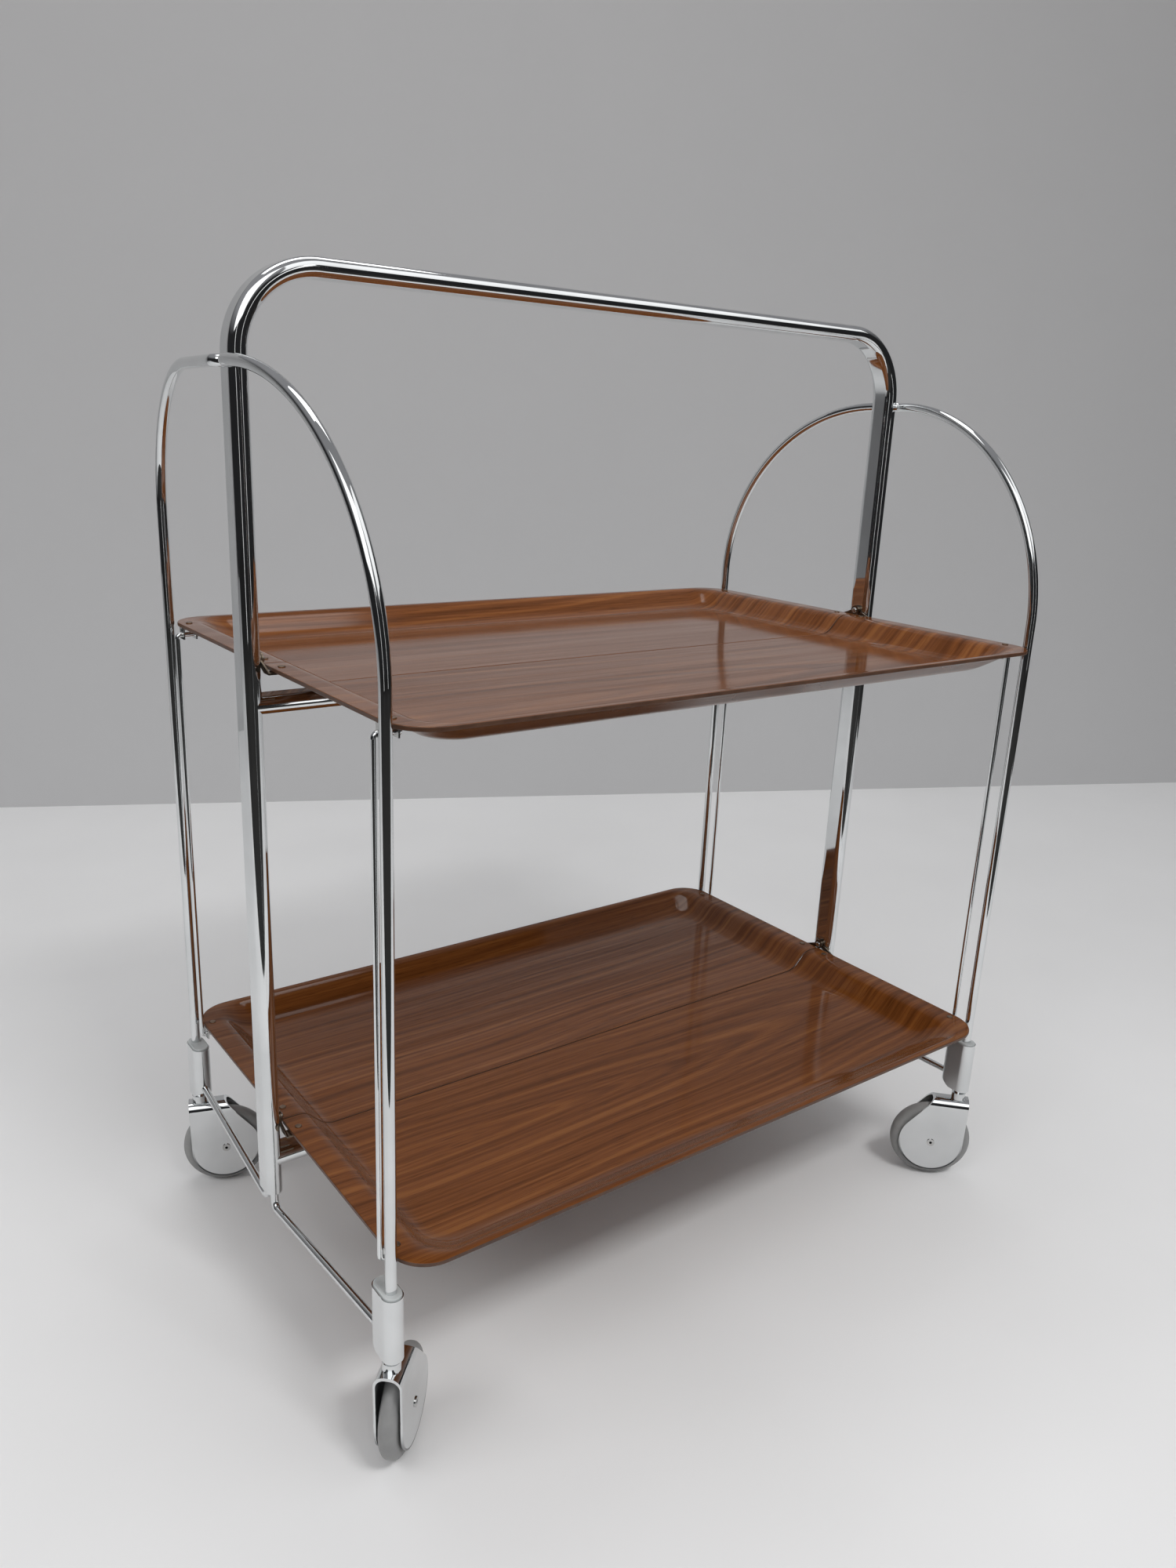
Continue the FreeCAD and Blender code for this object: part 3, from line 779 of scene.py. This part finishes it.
def tray_half(name, rim, side, face_finish):
    tray = pressed_tray(rim)
    cut_half(tray, side)
    mesh = bpy.data.meshes.new(name)
    tray.to_mesh(mesh)
    tray.free()
    mesh.polygons.foreach_set("use_smooth", [True] * len(mesh.polygons))
    mesh.set_sharp_from_angle(angle=smooth_below)
    for finish in (face_finish, core, sheet_back):
        mesh.materials.append(finish)
    half = add_object(name, mesh)
    break_edges(half, sheet_bevel)
    return half


# %% [markdown]
# ## Place the four halves
# Each half rides on its own body and stands for the CAD node of the same name.

# %% Place the tray halves
rim_at = {"upper": 0.5255, "lower": 0.1678}
for level in ("upper", "lower"):
    for end, side in (("front", -1), ("rear", 1)):
        key = level + "_" + end
        half = tray_half("sheet_tray_" + key, rim_at[level], side, laminates[key])
        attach(half, "tray_" + key)
        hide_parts("tray_" + key)
        print(half.name, len(half.data.vertices), "vertices")

# %% [markdown]
# ## Camera
# The view was fitted to the straight edges of the photograph: the lens, the height and the slight roll all
# come from that fit, so the trolley fills the picture in the same way.

# %% Camera
yaw, pitch, roll = 0.6459, 0.2967, 0.0435
lens, sensor, nearest = 26.587, 36.0, 0.02
eye = (-0.5877, -0.7567, 0.6873)
forward = Vector((math.sin(yaw) * math.cos(pitch), math.cos(yaw) * math.cos(pitch), -math.sin(pitch)))
level_right = Vector((math.cos(yaw), -math.sin(yaw), 0.0))
level_up = level_right.cross(forward)
right = level_right * math.cos(roll) + level_up * math.sin(roll)
up = level_up * math.cos(roll) - level_right * math.sin(roll)
camera_data = bpy.data.cameras.new("camera")
camera_data.lens = lens
camera_data.sensor_width = sensor
camera_data.clip_start = nearest
camera = add_object("camera", camera_data)
turned = Matrix((right, up, -forward)).transposed().to_4x4()
camera.matrix_world = Matrix.Translation(eye) @ turned
bpy.context.scene.camera = camera
print("camera at", [round(v, 3) for v in camera.location])

# %% [markdown]
# ## Wall paint
# The wall in the photograph is a plain grey that falls off towards the top. A single light could make that
# slope, but it would also show in the chrome, so the paint itself darkens slowly with height: a painted
# shade, mixed with a faint random tone from the smudges.

# %% Wall paint
smudge_share, height_share, wall_smudge = 0.08, 0.66, 5.0
wall_roughness = (0.8, 0.9)
wall_tones = ((0.1, (0.505, 0.505, 0.51)), (1.0, (0.40, 0.397, 0.40)))
wall_paint, wall_tree, wall_shader = start_material("wall_paint")
wall_place = object_coordinates(wall_tree)
wall_marks = place_group(wall_tree, marks, Smudge_Scale=wall_smudge)
join(wall_tree, wall_place, wall_marks.inputs["Vector"])
wall_level = add_node(wall_tree, "ShaderNodeSeparateXYZ")
join(wall_tree, wall_place, wall_level.inputs["Vector"])
smudge = wall_marks.outputs["Smudge"]
# Painted shade: the wall colour darkens with height, plus a faint random smudge tone
smudge_and_painted_height_shade = math_node(wall_tree, "ADD", math_node(wall_tree, "MULTIPLY", smudge, smudge_share),
                 math_node(wall_tree, "MULTIPLY", wall_level.outputs["Z"], height_share))
join(wall_tree, colour_ramp(wall_tree, smudge_and_painted_height_shade, wall_tones), wall_shader.inputs["Base Color"])
join(wall_tree, spread(wall_tree, smudge, *wall_roughness), wall_shader.inputs["Roughness"])
print("wall paint with", len(wall_tree.nodes), "nodes")

# %% [markdown]
# ## Floor and wall
# Chrome shows what stands around it, so the plain studio matters: a pale floor that ends a little in front
# of the trolley, a grey wall behind, and a dark floor beyond, which gives the tubes their dark lines.

# %% Floor and wall
floor_paint = moulded("floor_paint", (0.74, 0.74, 0.74), (0.78, 0.78, 0.78), roughness=(0.5, 0.6),
                      smudge_scale=2.0, grain_scale=60.0, grain_strength=0.0)
room_floor = moulded("room_floor", (0.012, 0.0115, 0.011), (0.020, 0.019, 0.018), roughness=(0.9, 1.0),
                     smudge_scale=3.0, grain_scale=60.0, grain_strength=0.0)
wall_normal, wall_along = Vector((0.4203, 0.9074, 0.0)), Vector((0.9074, -0.4203, 0.0))
wall_distance, wall_left, wall_right, wall_height = 1.1917, -4.8, 1.9, 1.8
floor_front, room_reach, room_drop = -0.75, 5.0, -0.004


def stage_plane(name, corners, material):
    # Corners are given along the wall, out towards it, and up
    places = [wall_along * sideways + wall_normal * outward + Vector((0.0, 0.0, height))
              for sideways, outward, height in corners]
    mesh = bpy.data.meshes.new(name)
    mesh.from_pydata(places, [], [tuple(range(len(places)))])
    mesh.materials.append(material)
    plane = add_object(name, mesh)
    print("stage", name)


def level_corners(left, right_end, front, back, height):
    return [(left, front, height), (right_end, front, height),
            (right_end, back, height), (left, back, height)]


stage_plane("floor", level_corners(wall_left, wall_right, floor_front, wall_distance, 0.0), floor_paint)
stage_plane("wall", [(wall_left, wall_distance, 0.0), (wall_right, wall_distance, 0.0),
                     (wall_right, wall_distance, wall_height), (wall_left, wall_distance, wall_height)],
            wall_paint)
stage_plane("room_floor", level_corners(-room_reach, room_reach, -room_reach, room_reach, room_drop),
            room_floor)

# %% [markdown]
# ## Lights
# Two large soft panels and a ceiling panel give the even light and the long white reflections in the
# tubes, and two thin strips draw the narrow bright lines. The window panel and the small steep key panel
# only light the wood and throw the soft shadow under the lower tray: they are hidden from mirrors, because
# the chrome in the photograph doesn't show them.

# %% Lights
# Name, place, aim, width and height, power, whether mirrors show it
panels = (
    ("softbox_left", (-1.6, -1.5, 2.5), (0.0, 0.4, 0.2), (2.6, 2.0), 22.0, True),
    ("softbox_right", (1.3, -1.7, 2.5), (0.1, 0.4, 0.2), (2.6, 2.0), 16.0, True),
    ("ceiling", (0.0, 0.5, 2.7), (0.0, 0.5, 0.0), (1.8, 0.8), 11.0, True),
    ("window_left", (-2.2, 0.0, 2.1), (0.0, 0.2, 0.3), (1.6, 1.0), 18.0, False),
    ("key", (-0.05, -1.72, 2.35), (0.0, 0.0, 0.1), (0.7, 0.4), 27.0, False),
    ("strip_left", (-1.9, -2.0, 0.9), (0.0, 0.0, 0.5), (0.12, 1.7), 0.9, True),
    ("strip_right", (0.8, -2.6, 0.9), (0.0, 0.0, 0.5), (0.12, 1.7), 0.9, True),
)
for name, place, aim, (wide, high), power, mirrored in panels:
    data = bpy.data.lights.new(name, "AREA")
    data.shape = "RECTANGLE"
    data.size = wide
    data.size_y = high
    data.energy = power
    lamp = add_object(name, data)
    lamp.location = place
    lamp.rotation_mode = "QUATERNION"
    lamp.rotation_quaternion = (Vector(aim) - Vector(place)).to_track_quat("-Z", "Y")
    lamp.visible_glossy = mirrored
print("lights", [panel[0] for panel in panels])

# %% [markdown]
# ## The rest of the room
# Above the panels the room is pale, at eye level it is dark. The world is a plain gradient from one to the
# other, so the top of the handle mirrors a grey ceiling and the upright rods keep their black cores.

# %% World gradient
room_shades = ((0.30, (0.018, 0.018, 0.019)), (0.62, (0.26, 0.26, 0.27)))
world = bpy.data.worlds.new("dim_room")
world.use_nodes = True
room = world.node_tree
direction = add_node(room, "ShaderNodeSeparateXYZ")
join(room, add_node(room, "ShaderNodeTexCoord").outputs["Generated"], direction.inputs["Vector"])
shade = colour_ramp(room, direction.outputs["Z"], room_shades)
join(room, shade, room.nodes["Background"].inputs["Color"])
bpy.context.scene.world = world
bpy.context.scene.view_settings.view_transform = "Standard"
print("world", world.name)
